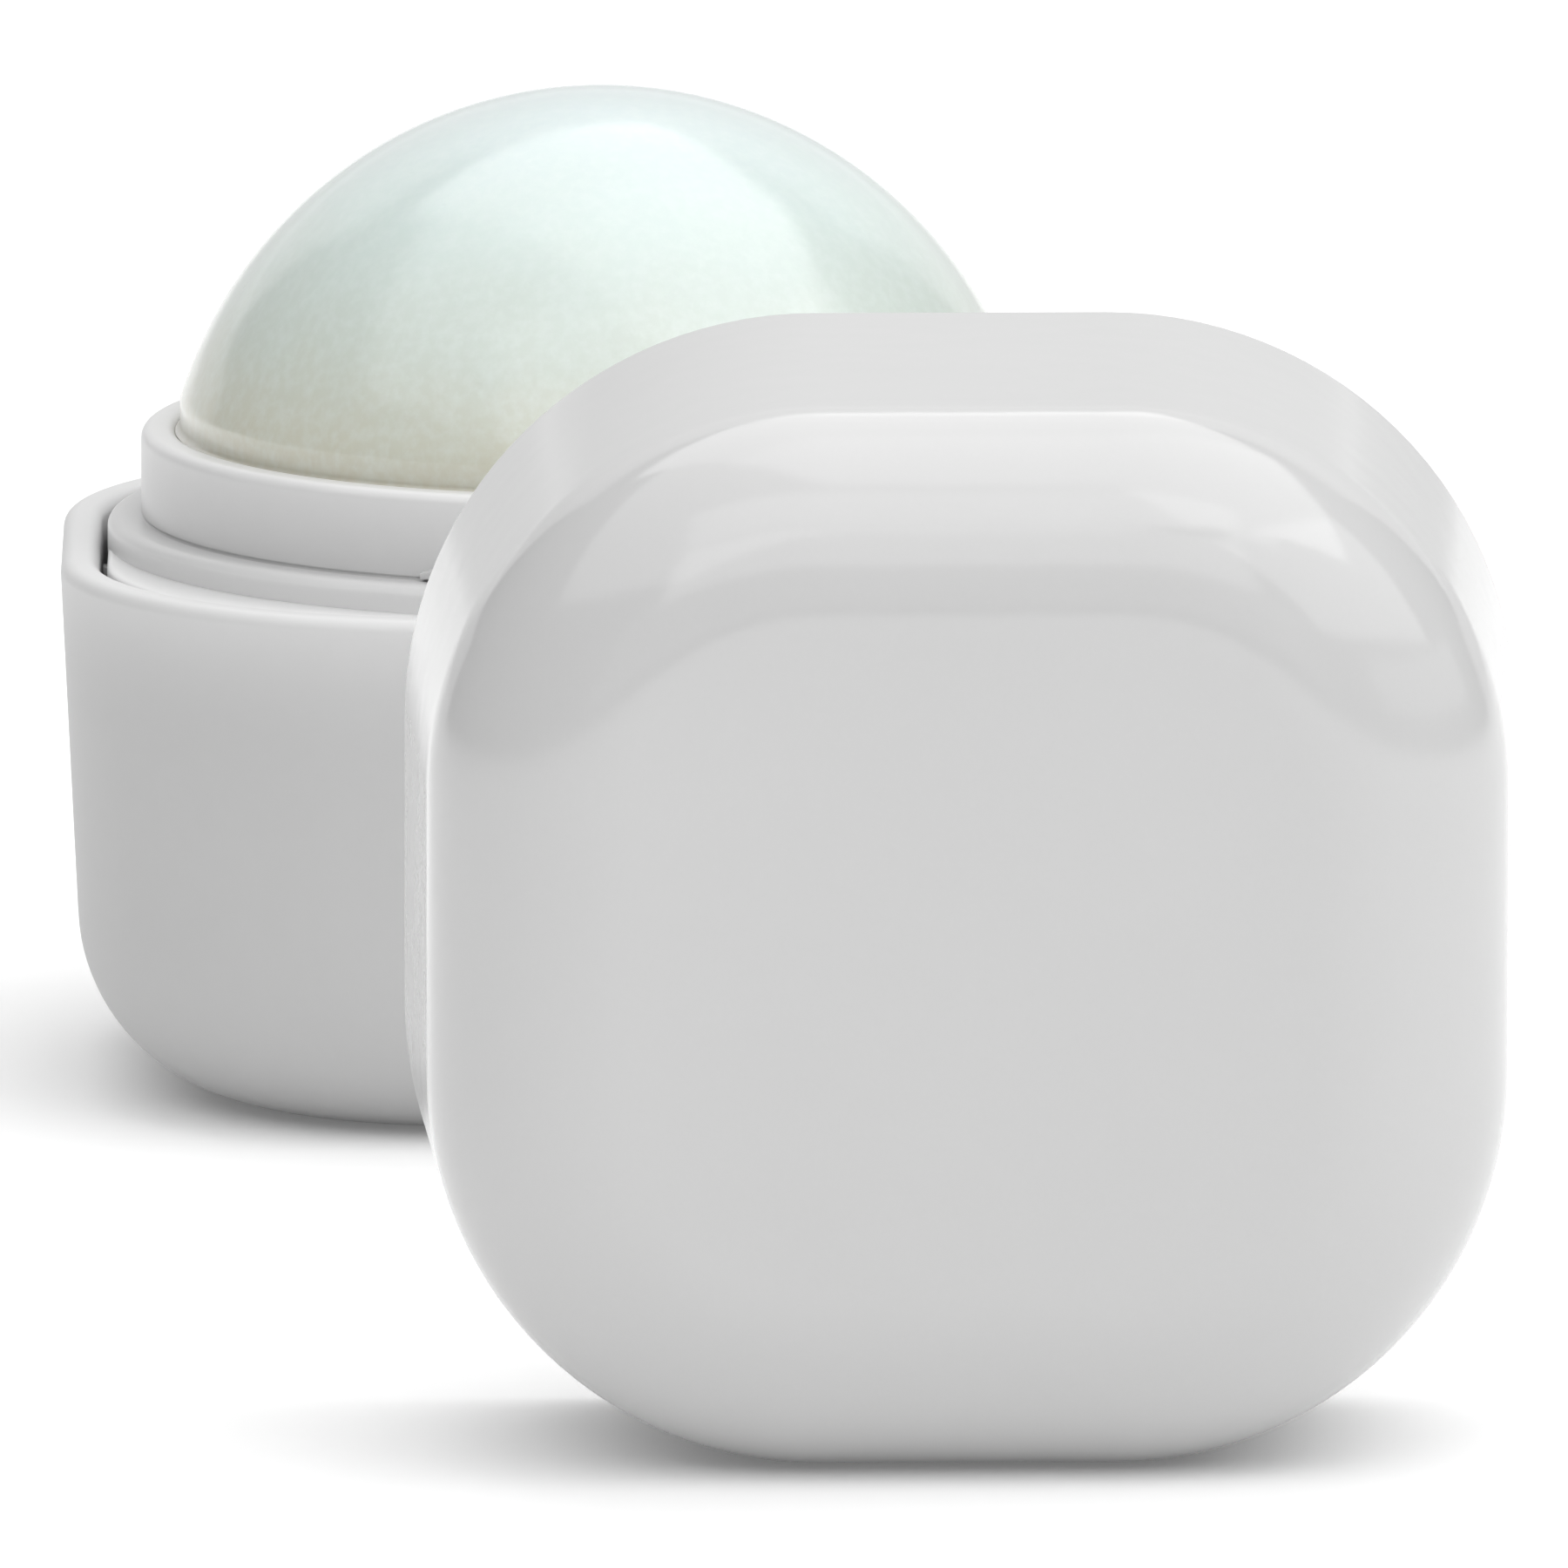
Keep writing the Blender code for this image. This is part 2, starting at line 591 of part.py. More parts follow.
def make_cap_liner(parent):
    """A domed crown joined to a square plug, bored out with its shoulder, and given the short ridges."""
    waist = math.asin((LINER_SHOULDER - LINER_DOME_CENTRE) / LINER_DOME_OUTER)
    crown = arc((0.0, LINER_DOME_CENTRE), LINER_DOME_OUTER, QUARTER_TURN, waist, DOME_STEPS)
    crown[0] = (0.0, LINER_DOME_CENTRE + LINER_DOME_OUTER)
    crown.append((0.0, LINER_SHOULDER))
    liner = add_part("cap_liner", profile_mesh("cap_liner", crown, closed=False), satin_white, parent)
    turn(liner, TURN_STEPS)

    mouth_half_width = INNER_HALF_WIDTH - draft_inset(LINER_MOUTH) - SEAT_GAP
    corner = CORNER_RADIUS - WALL - draft_inset(LINER_MOUTH) - SEAT_GAP
    plug = lofted(mouth_half_width, corner, LINER_MOUTH, LINER_PLUG_TOP, end_open=False)
    join(liner, add_tool("liner_plug", mesh_from(plug, "liner_plug"), liner))

    seal = math.asin((LINER_SHOULDER - LINER_DOME_CENTRE) / LINER_DOME_INNER)
    hollow = arc((0.0, LINER_DOME_CENTRE), LINER_DOME_INNER, QUARTER_TURN, seal, DOME_STEPS)
    hollow[0] = (0.0, LINER_DOME_CENTRE + LINER_DOME_INNER)
    hollow += [
        (LINER_BORE, LINER_SHOULDER),
        (LINER_BORE, LINER_MOUTH - OVERRUN),
        (0.0, LINER_MOUTH - OVERRUN),
    ]
    bore = add_tool("liner_bore", profile_mesh("liner_bore", hollow, closed=False), liner)
    turn(bore, TURN_STEPS)
    cut(liner, bore)
    join_ridges(liner, -1, LINER_BORE, LINER_RIDGE_LEVEL, LINER_RIDGE_FROM, LINER_RIDGE_TO)
    shade(liner)


def place_cap():
    """An empty on the cap's axis in its rim plane, laid over so that one drafted flat rests on the floor."""
    frame = bpy.data.objects.new("cap_frame", None)
    parts.objects.link(frame)
    frame.location = (CAP_ASIDE_X, CAP_ASIDE_Y, RIM_HALF_WIDTH * math.cos(DRAFT))
    frame.rotation_euler = (QUARTER_TURN + DRAFT, 0.0, CAP_YAW)
    return frame


for old in list(bpy.data.objects):
    bpy.data.objects.remove(old, do_unlink=True)
parts = new_collection("lip_balm_cube")
cutters = new_collection("cutters")
smooth_by_angle = shading_nodes()

satin_white = new_material("satin_white_plastic", (0.66, 0.66, 0.66), 0.42)
gloss_white = new_material("gloss_white_plastic", (0.7, 0.7, 0.7), 0.12)
natural_plastic = new_material("natural_plastic", (0.74, 0.74, 0.7), 0.5, 0.1)
wax = new_material("pale_mint_wax", (0.7, 0.78, 0.73), 0.35, 0.3)

make_base_shell()
make_neck_insert()
make_balm_anchor()
make_balm()
cap_frame = place_cap()
make_cap_shell(cap_frame)
make_cap_liner(cap_frame)
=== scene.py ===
"""Looks for the lip balm cube: finely divided mouldings, the cast balm, plastics, wax and a pale studio."""

import math

import bmesh
import bpy
from mathutils import Euler, Matrix, Quaternion, Vector


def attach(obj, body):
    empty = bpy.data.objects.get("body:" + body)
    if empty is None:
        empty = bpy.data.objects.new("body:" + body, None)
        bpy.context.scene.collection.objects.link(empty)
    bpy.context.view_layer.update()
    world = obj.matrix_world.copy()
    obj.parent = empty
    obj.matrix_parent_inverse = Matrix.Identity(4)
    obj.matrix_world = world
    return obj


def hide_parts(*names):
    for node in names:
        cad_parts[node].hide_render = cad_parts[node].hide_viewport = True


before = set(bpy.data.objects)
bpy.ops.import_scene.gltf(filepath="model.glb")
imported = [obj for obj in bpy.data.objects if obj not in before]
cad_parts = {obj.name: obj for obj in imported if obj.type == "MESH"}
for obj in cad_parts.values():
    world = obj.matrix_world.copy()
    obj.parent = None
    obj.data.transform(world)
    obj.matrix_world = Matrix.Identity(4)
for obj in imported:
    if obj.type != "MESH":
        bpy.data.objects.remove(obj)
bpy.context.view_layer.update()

MM = 0.001
DEGREE = math.pi / 180.0
QUARTER_TURN = math.pi / 2
FULL_TURN = 2 * math.pi

# Cups
RIM_HALF_WIDTH = 19.0 * MM
CORNER_RADIUS = 14.0 * MM
BASE_HEIGHT = 19.0 * MM
END_FILLET = 6.75 * MM
WALL = 1.35 * MM
DRAFT = 2.8 * DEGREE
RIM_ROUND = 0.5 * MM

# Gaps
PARTING_GAP = 0.15 * MM
SEAT_GAP = 0.3 * MM
BALM_GAP = 0.25 * MM
THREAD_CLEARANCE = 0.1 * MM
THREAD_PLAY = 0.3 * MM
DOME_CLEARANCE = 0.7 * MM
CROWN_AIR = 0.57 * MM

# Neck insert
NECK_SLOT = 0.3 * MM
STEP_SLOT = 0.27 * MM
FLANGE_DROP = 0.2 * MM
FLANGE_THICKNESS = 1.2 * MM
FLANGE_ROUND = 0.2 * MM
STEP_HEIGHT = 1.0 * MM
STEP_LAP = 0.3 * MM
STEP_ROUND = 0.45 * MM
STEP_LEDGE = 1.18 * MM
COLLAR_HEIGHT = 3.1 * MM
COLLAR_WALL = 1.25 * MM
COLLAR_ROUND = 0.4 * MM
FOOT_GROOVE = 0.06 * MM
FOOT_GROOVE_CENTRE = 0.16 * MM
BARREL_DEPTH = 2.1 * MM
SHELF_WIDTH = 1.75 * MM
SHELF_THICKNESS = 1.0 * MM

# Thread
RIDGE_STARTS = 2
RIDGE_HEIGHT = 0.45 * MM
RIDGE_THICKNESS = 0.6 * MM
RIDGE_FLANK = 0.12 * MM
RIDGE_ROOT = 0.3 * MM
RIDGE_EDGE = 0.07 * MM
RIDGE_LEAD = 8.0 * MM
RIDGE_BEARING = -112.6 * DEGREE
RIDGE_TAPER = 5.0 * DEGREE
RIDGE_THINNEST = 0.55
COLLAR_RIDGE_SPAN = 85.0 * DEGREE
LINER_RIDGE_FROM = 58.0 * DEGREE
LINER_RIDGE_TO = 84.0 * DEGREE

# Balm and its anchor
DOME_BULGE = 0.93 * MM
DOME_CENTRE_RISE = 0.1 * MM
BALM_CHAMFER = 0.3 * MM
DOME_WIDTH = 15.55 * MM
DOME_TALLNESS = 15.74 * MM
CAST_GAP = 0.12 * MM
MENISCUS_TURN = 80.0 * DEGREE
WETTING_TURN = 142.0 * DEGREE
WETTING_GAP = 0.015 * MM
ANCHOR_THICKNESS = 1.0 * MM
POST_RADIUS = 1.9 * MM
POST_HEIGHT = 7.5 * MM

# Cap liner
LINER_WALL = 0.8 * MM
LINER_ROUND = 0.2 * MM

# Ribs inside both cups
RIB_THICKNESS = 1.0 * MM
RIB_OFFSET = 3.5 * MM
RIB_SINK_SHARE = 0.5

# Where the cap stands
CAP_ASIDE_X = 12.4 * MM
CAP_ASIDE_Y = -67.7 * MM
CAP_YAW = 1.1 * DEGREE

# Radii, half widths and levels that follow
INNER_HALF_WIDTH = RIM_HALF_WIDTH - WALL
FLANGE_HALF_WIDTH = INNER_HALF_WIDTH - NECK_SLOT
STEP_RADIUS = INNER_HALF_WIDTH - STEP_SLOT
COLLAR_RADIUS = STEP_RADIUS - STEP_LEDGE
COLLAR_BORE = COLLAR_RADIUS - COLLAR_WALL
SHELF_BORE = COLLAR_BORE - SHELF_WIDTH
BALM_RADIUS = COLLAR_BORE - BALM_GAP
DOME_RADIUS = BALM_RADIUS + DOME_BULGE
LINER_BORE = COLLAR_RADIUS + RIDGE_HEIGHT + THREAD_CLEARANCE
LINER_DOME_INNER = DOME_RADIUS + DOME_CLEARANCE
LINER_DOME_OUTER = LINER_DOME_INNER + LINER_WALL
FLANGE_TOP = BASE_HEIGHT - FLANGE_DROP
FLANGE_BOTTOM = FLANGE_TOP - FLANGE_THICKNESS
STEP_TOP = FLANGE_TOP + STEP_HEIGHT
COLLAR_TOP = STEP_TOP + COLLAR_HEIGHT
BARREL_BOTTOM = FLANGE_BOTTOM - BARREL_DEPTH
SHELF_TOP = BARREL_BOTTOM + SHELF_THICKNESS
ANCHOR_TOP = SHELF_TOP + SEAT_GAP + ANCHOR_THICKNESS
BALM_BOTTOM = ANCHOR_TOP + SEAT_GAP
DOME_CENTRE = BASE_HEIGHT + DOME_CENTRE_RISE
RIDGE_LEVEL = STEP_TOP + RIDGE_THICKNESS / 2
CAP_RIM = BASE_HEIGHT + PARTING_GAP
LINER_MOUTH = STEP_TOP - CAP_RIM + SEAT_GAP
LINER_SHOULDER = COLLAR_TOP - CAP_RIM + SEAT_GAP
LINER_PLUG_TOP = LINER_SHOULDER + LINER_WALL
LINER_RIDGE_LEVEL = RIDGE_LEVEL - CAP_RIM - RIDGE_THICKNESS - THREAD_PLAY
LINER_DOME_CENTRE = DOME_CENTRE - CAP_RIM
CAP_HEIGHT = LINER_DOME_CENTRE + LINER_DOME_OUTER + CROWN_AIR + WALL

# How finely the forms are divided
CORNER_STEPS = 28
FLAT_STEPS = 8
ARC_STEPS = 24
STRAIGHT_STEPS = 8
EDGE_STEPS = 8
SMALL_EDGE_STEPS = 4
SHORT_RUN_STEPS = 4
RIM_TOP_STEPS = 3
CAST_STEPS = 5
DOME_STEPS = 64
ROUND_STEPS = 192
RIDGE_STEPS = 72
WELD = 0.0001 * MM

# Dust specks, pin pores, and how far the wax's tint and painted shade wander up and down
SPECK_SPACING = 5.5 * MM
SPECK_RARITY = 0.72
PORE_SPACING = 1.5 * MM
TONE_WANDER = 2.4 * MM

# Painted highlights on the plastic: from a level to a level, and how much paler the colour is painted there
RIM_PAINTED_HIGHLIGHT = (BASE_HEIGHT - 5.0 * MM, BASE_HEIGHT, 0.6)
COLLAR_PAINTED_HIGHLIGHT = (COLLAR_TOP - 3.1 * MM, COLLAR_TOP + 1.0 * MM, 0.6)
LEDGE_PAINTED_HIGHLIGHT = (STEP_TOP, STEP_TOP - 0.3 * MM, 0.42)

# A long lens, near enough that the side views still see the object and the floor behind it
IMAGE_SIDE = 1800
PIXELS_PER_METRE = 32.63 / MM
ELEVATION = 9.45 * DEGREE
CAMERA_DISTANCE = 2.37
SENSOR = 12.0
AIM = Vector((6.4 * MM, 0.0, 10.11 * MM))

# The floor, and the spot the softboxes are placed round
FLOOR_HALF = 3.0
LIT_SPOT = Vector((10.0 * MM, -60.0 * MM, 30.0 * MM))
EDGE_CARD_SPOT = Vector((-14.0 * MM, -32.0 * MM, 22.0 * MM))
OVERHEAD_HEIGHT = 0.63
SKEW = 36.0 * DEGREE
SKY_GLOW = 0.17


class Field:
    """A node's output, usable in sums, so that node maths reads as a plain expression."""

    def __init__(self, tree, socket):
        self.tree = tree
        self.socket = socket

    def math(self, operation, *values):
        return self.tree.node("ShaderNodeMath", {"operation": operation}, values)

    def __add__(self, other):
        return self.math("ADD", self, other)

    def __radd__(self, other):
        return self.math("ADD", other, self)

    def __sub__(self, other):
        return self.math("SUBTRACT", self, other)

    def __rsub__(self, other):
        return self.math("SUBTRACT", other, self)

    def __mul__(self, other):
        return self.math("MULTIPLY", self, other)

    def __rmul__(self, other):
        return self.math("MULTIPLY", other, self)

    def __truediv__(self, other):
        return self.math("DIVIDE", self, other)

    def __neg__(self):
        return self.math("MULTIPLY", self, -1.0)

    def __pow__(self, other):
        return self.math("POWER", self, other)

    def floor(self):
        return self.math("FLOOR", self)

    def cos(self):
        return self.math("COSINE", self)

    def sin(self):
        return self.math("SINE", self)

    def tan(self):
        return self.math("TANGENT", self)

    def at_most(self, other):
        return self.math("MINIMUM", self, other)

    def at_least(self, other):
        return self.math("MAXIMUM", self, other)

    def over(self, limit):
        return self.math("GREATER_THAN", self, limit)

    def ramp(self, low, high):
        """0 at low, 1 at high, straight between."""
        return self.tree.node(
            "ShaderNodeMapRange", {"clamp": True}, {"Value": self, "From Min": low, "From Max": high}
        )

    def part(self, axis):
        """One part of a vector, by its letter."""
        return self.tree.node("ShaderNodeSeparateXYZ", {}, [self], output=axis)


class Tree:
    """A node tree and the one method that adds nodes to it."""

    def __init__(self, tree):
        self.tree = tree

    def node(self, kind, settings=(), values=(), output=0):
        made = self.tree.nodes.new(kind)
        for name, value in dict(settings).items():
            if name == "stops":
                ramp = made.color_ramp
                while len(ramp.elements) < len(value):
                    ramp.elements.new(1.0)
                for element, (place, colour) in zip(ramp.elements, value):
                    element.position = place
                    element.color = colour
            elif name == "items":
                while len(made.index_switch_items) < value:
                    made.index_switch_items.new()
            else:
                setattr(made, name, value)
        pairs = values.items() if isinstance(values, dict) else enumerate(values)
        for name, value in pairs:
            if isinstance(value, Field):
                self.tree.links.new(value.socket, made.inputs[name])
            else:
                made.inputs[name].default_value = value
        return Field(self, made.outputs[output]) if len(made.outputs) else made

    def mix_colour(self, share, first, second):
        names = {"Factor": share, 6: first, 7: second}
        return self.node("ShaderNodeMix", {"data_type": "RGBA"}, names, output=2)

    def mix_value(self, share, first, second):
        return first + (second - first) * share

    def vector(self, x, y, z):
        return self.node("ShaderNodeCombineXYZ", {}, [x, y, z])


class Shape(Tree):
    """A Geometry Nodes tree whose inputs are named for the sizes they hold."""

    def __init__(self, name, sizes):
        super().__init__(bpy.data.node_groups.new(name, "GeometryNodeTree"))
        face = self.tree.interface
        face.new_socket("Geometry", in_out="OUTPUT", socket_type="NodeSocketGeometry")
        kinds = {int: "NodeSocketInt", float: "NodeSocketFloat"}
        for label, value in sizes.items():
            face.new_socket(label, in_out="INPUT", socket_type=kinds[type(value)]).default_value = value
        face.new_socket("Finish", in_out="INPUT", socket_type="NodeSocketMaterial")
        face.new_socket("Pattern", in_out="INPUT", socket_type="NodeSocketObject")
        self.start = self.tree.nodes.new("NodeGroupInput")

    def size(self, label):
        return Field(self, self.start.outputs[label])

    def copies(self, points, original, angle):
        """One copy of the original at each point, turned about Z."""
        spin = self.node("FunctionNodeEulerToRotation", {}, [self.vector(0.0, 0.0, angle)])
        values = {"Points": points, "Instance": original, "Rotation": spin}
        return self.node("GeometryNodeInstanceOnPoints", {}, values)

    def close(self, geometry):
        """Ends the tree with real geometry in one smooth finish."""
        real = self.node("GeometryNodeRealizeInstances", {}, [geometry])
        smooth = self.node("GeometryNodeSetShadeSmooth", {}, [real])
        surface = {"Geometry": smooth, "Material": self.size("Finish")}
        finished = self.node("GeometryNodeSetMaterial", {}, surface)
        self.node("NodeGroupOutput", {}, {"Geometry": finished})
        return self

    def grow(self, sizes, finish, pattern=None):
        """Runs the tree once and gives its result as a plain mesh."""
        holder = bpy.data.objects.new(self.tree.name, bpy.data.meshes.new(self.tree.name))
        bpy.context.scene.collection.objects.link(holder)
        step = holder.modifiers.new("grow", "NODES")
        step.node_group = self.tree
        chosen = dict(sizes, Finish=finish)
        if pattern:
            chosen["Pattern"] = pattern
        for item in self.tree.interface.items_tree:
            if item.in_out == "INPUT" and item.name in chosen:
                step[item.identifier] = chosen[item.name]
        graph = bpy.context.evaluated_depsgraph_get()
        mesh = bpy.data.meshes.new_from_object(holder.evaluated_get(graph), depsgraph=graph)
        bpy.data.objects.remove(holder)
        return mesh


def cup_shape():
    """A drafted rounded-square cup on its closed end: columns run round it, rows from foot to floor."""
    shape = Shape(
        "drafted_cup",
        {
            "Half Width": RIM_HALF_WIDTH,
            "Corner Radius": CORNER_RADIUS,
            "Height": BASE_HEIGHT,
            "Draft": DRAFT,
            "End Fillet": END_FILLET,
            "Wall": WALL,
            "Rim Round": RIM_ROUND,
            "Corner Steps": CORNER_STEPS,
            "Flat Steps": FLAT_STEPS,
            "Arc Steps": ARC_STEPS,
            "Straight Steps": STRAIGHT_STEPS,
        },
    )
    corner_steps = shape.size("Corner Steps")
    flat_steps = shape.size("Flat Steps")
    arc_steps = shape.size("Arc Steps")
    straight_steps = shape.size("Straight Steps")
    columns = 4 * (corner_steps + flat_steps)
    rows = 4 * arc_steps + 5 * straight_steps
    sheet = shape.node(
        "GeometryNodeMeshGrid",
        {},
        {"Size X": columns, "Size Y": rows, "Vertices X": columns + 1, "Vertices Y": rows + 1},
    )
    place = shape.node("GeometryNodeInputPosition")
    column = place.part("X") + columns / 2
    row = place.part("Y") + rows / 2

    height = shape.size("Height")
    draft = shape.size("Draft")
    fillet = shape.size("End Fillet")
    wall = shape.size("Wall")
    rim = shape.size("Rim Round")
    slope = draft.tan()
    lean = draft.cos()
    fillet_centre = (fillet - height) * slope - fillet / lean
    outer_rim_centre = -rim * slope - rim / lean
    inner_rim_centre = (rim - wall) / lean - rim * slope

    def pick(stage, values):
        return shape.node("GeometryNodeIndexSwitch", {"data_type": "FLOAT", "items": 4}, [stage, *values])

    def on_arc(stage, share):
        """A point on one of the profile's four arcs: its offset from the rim's outline and its level."""
        first = pick(stage, [-QUARTER_TURN, -draft, QUARTER_TURN, -draft])
        last = pick(stage, [-draft, QUARTER_TURN, math.pi - draft, -QUARTER_TURN])
        radius = pick(stage, [fillet, rim, rim, fillet - wall])
        angle = shape.mix_value(share, first, last)
        offset = pick(stage, [fillet_centre, outer_rim_centre, inner_rim_centre, fillet_centre])
        level = pick(stage, [fillet, height - rim, height - rim, fillet])
        return offset + radius * angle.cos(), level + radius * angle.sin()

    along = row - straight_steps
    stage = (along / (arc_steps + straight_steps)).floor().at_least(0.0).at_most(3.0)
    step = along - stage * (arc_steps + straight_steps)
    arc_share = (step / arc_steps).at_least(0.0).at_most(1.0)
    run_share = ((step - arc_steps) / straight_steps).at_least(0.0).at_most(1.0)
    eased = (1.0 - (run_share * math.pi).cos()) / 2
    last_stage = stage.over(2.5)
    offset, level = on_arc(stage, arc_share)
    next_offset, next_level = on_arc((stage + 1.0).at_most(3.0), 0.0)
    between = eased * (1.0 - last_stage)
    offset = shape.mix_value(between, offset, next_offset)
    level = shape.mix_value(between, level, next_level)
    foot_share = (1.0 + step / straight_steps).at_least(0.0).at_most(1.0)
    floor_spread = ((1.0 - run_share) * QUARTER_TURN).sin()
    spread = (foot_share * QUARTER_TURN).sin() * (1.0 - last_stage * (1.0 - floor_spread))

    quarter = (column / (corner_steps + flat_steps)).floor().at_most(3.0)
    step = column - quarter * (corner_steps + flat_steps)
    turned = (step / corner_steps).at_most(1.0) * QUARTER_TURN
    flat_share = ((step - corner_steps) / flat_steps).at_least(0.0)
    eased = (1.0 - (flat_share * math.pi).cos()) / 2
    corner = shape.size("Half Width") - shape.size("Corner Radius")
    reach = shape.size("Corner Radius") + offset
    x = (corner + reach * turned.cos() - 2.0 * corner * eased) * spread
    y = (corner + reach * turned.sin()) * spread
    bearing = quarter * QUARTER_TURN
    moved = shape.vector(
        x * bearing.cos() - y * bearing.sin(),
        x * bearing.sin() + y * bearing.cos(),
        level,
    )
    bent = shape.node("GeometryNodeSetPosition", {}, {"Geometry": sheet, "Position": moved})
    welded = shape.node("GeometryNodeMergeByDistance", {}, {"Geometry": bent, "Distance": WELD})
    return shape.close(welded)


def ridge_shape():
    """Thread ridges: a round-edged section swept on a helix, thin at both ends, set round the axis."""
    shape = Shape(
        "thread_ridges",
        {
            "Starts": RIDGE_STARTS,
            "Steps": RIDGE_STEPS,
            "Radius": COLLAR_RADIUS,
            "Level": RIDGE_LEVEL,
            "Lead": RIDGE_LEAD,
            "Bearing": RIDGE_BEARING,
            "From": 0.0,
            "To": COLLAR_RIDGE_SPAN,
            "Taper": RIDGE_TAPER,
            "Thinnest": RIDGE_THINNEST,
            "Outward": 1.0,
            "Height": RIDGE_HEIGHT,
            "Thickness": RIDGE_THICKNESS,
            "Flank": RIDGE_FLANK,
            "Root": RIDGE_ROOT,
            "Edge": RIDGE_EDGE,
            "Edge Steps": SMALL_EDGE_STEPS,
        },
    )
    steps = shape.size("Steps")
    start, end = shape.size("From"), shape.size("To")
    line = shape.node("GeometryNodeCurvePrimitiveLine")
    line = shape.node("GeometryNodeResampleCurve", {}, {"Curve": line, "Count": steps + 1})
    share = shape.node("GeometryNodeSplineParameter")
    turned = shape.mix_value(share, start, end)
    angle = shape.size("Bearing") + turned
    radius = shape.size("Radius")
    near_end = (turned - start).at_most(end - turned) / shape.size("Taper")
    grown = near_end.at_least(0.0).at_most(1.0)
    full = shape.mix_value((grown * QUARTER_TURN).sin(), shape.size("Thinnest"), 1.0)
    settled = (full - 1.0) * shape.size("Thickness") / 2
    rise = shape.size("Level") + shape.size("Lead") * turned / FULL_TURN + settled
    spot = shape.vector(radius * angle.cos(), radius * angle.sin(), rise)
    helix = shape.node("GeometryNodeSetPosition", {}, {"Geometry": line, "Position": spot})
    helix = shape.node("GeometryNodeSetCurveNormal", {"mode": "Z_UP"}, [helix])

    outward = shape.size("Outward")
    root = shape.size("Thickness") / 2
    crest = root - shape.size("Flank")
    depth = -shape.size("Root") * outward
    height = shape.size("Height") * outward
    corners = [(depth, -root), (height, -crest), (height, crest), (depth, root)]
    points = {f"Point {n + 1}": shape.vector(x, y, 0.0) for n, (x, y) in enumerate(corners)}
    section = shape.node("GeometryNodeCurvePrimitiveQuadrilateral", {"mode": "POINTS"}, points)
    rounding = {
        "Curve": section,
        "Count": shape.size("Edge Steps"),
        "Radius": shape.size("Edge"),
        "Limit Radius": True,
    }
    section = shape.node("GeometryNodeFilletCurve", {"mode": "POLY"}, rounding)
    sweep = {"Curve": helix, "Profile Curve": section, "Scale": full, "Fill Caps": True}
    ridge = shape.node("GeometryNodeCurveToMesh", {}, sweep)
    starts = shape.node("GeometryNodePoints", {}, {"Count": shape.size("Starts")})
    number = shape.node("GeometryNodeInputIndex")
    return shape.close(shape.copies(starts, ridge, number * FULL_TURN / shape.size("Starts")))


def rib_shape():
    """The upright ribs inside a cup: one rib set twice on each of its four flats."""
    shape = Shape("cup_ribs", {"Sides": 4, "Offset": RIB_OFFSET})
    sides = shape.size("Sides")
    points = shape.node("GeometryNodePoints", {}, {"Count": 2 * sides})
    number = shape.node("GeometryNodeInputIndex")
    side = (number / 2).floor()
    hand = 2.0 * (number - 2.0 * side) - 1.0
    angle = side * FULL_TURN / sides
    aside = shape.size("Offset") * hand
    spot = shape.vector(-aside * angle.sin(), aside * angle.cos(), 0.0)
    points = shape.node("GeometryNodeSetPosition", {}, {"Geometry": points, "Position": spot})
    rib = shape.node("GeometryNodeObjectInfo", {}, {"Object": shape.size("Pattern")}, output="Geometry")
    return shape.close(shape.copies(points, rib, angle))


def arc(centre, radius, start, end, steps):
    points = []
    for i in range(steps + 1):
        angle = start + (end - start) * i / steps
        points.append((centre[0] + radius * math.cos(angle), centre[1] + radius * math.sin(angle)))
    return points


def run(start, end, steps=STRAIGHT_STEPS):
    """Points strictly between two profile points, closer together near both, so that shading stays true."""
    points = []
    for i in range(1, steps):
        share = (1.0 - math.cos(math.pi * i / steps)) / 2
        points.append((start[0] + (end[0] - start[0]) * share, start[1] + (end[1] - start[1]) * share))
    return points


def outline(half_width, radius):
    """A rounded square as points, anticlockwise."""
    corner = half_width - radius
    points = []
    for quarter in range(4):
        turn = Matrix.Rotation(quarter * QUARTER_TURN, 2)
        for i in range(CORNER_STEPS):
            angle = QUARTER_TURN * i / CORNER_STEPS
            spot = (corner + radius * math.cos(angle), corner + radius * math.sin(angle))
            points.append(turn @ Vector(spot))
        for i in range(FLAT_STEPS):
            share = (1.0 - math.cos(math.pi * i / FLAT_STEPS)) / 2
            points.append(turn @ Vector((corner - 2.0 * corner * share, half_width)))
    return points


def circle(radius, like):
    """Points on a circle at the bearings of another outline's points."""
    return [point.normalized() * radius for point in like]


def skin(name, rings, closed=False):
    """A surface through rings of (points, level). One point makes a pole; closed joins last to first."""
    bm = bmesh.new()
    loops = [[bm.verts.new((x, y, level)) for x, y in points] for points, level in rings]
    pairs = list(zip(loops, loops[1:]))
    if closed:
        pairs.append((loops[-1], loops[0]))
    for near, far in pairs:
        count = max(len(near), len(far))
        for i in range(count):
            j = (i + 1) % count
            quad = [near[i % len(near)], near[j % len(near)], far[j % len(far)], far[i % len(far)]]
            corners = list(dict.fromkeys(quad))
            face = bm.faces.new(corners)
            face.smooth = True
    bmesh.ops.recalc_face_normals(bm, faces=bm.faces)
    mesh = bpy.data.meshes.new(name)
    bm.to_mesh(mesh)
    bm.free()
    return mesh


def turned(name, profile, closed=False):
    """A profile of (radius, level) points turned round Z."""
    bearings = [FULL_TURN * i / ROUND_STEPS for i in range(ROUND_STEPS)]
    rings = []
    for radius, level in profile:
        if radius < WELD:
            rings.append(([(0.0, 0.0)], level))
        else:
            rings.append(([(radius * math.cos(a), radius * math.sin(a)) for a in bearings], level))
    return skin(name, rings, closed)


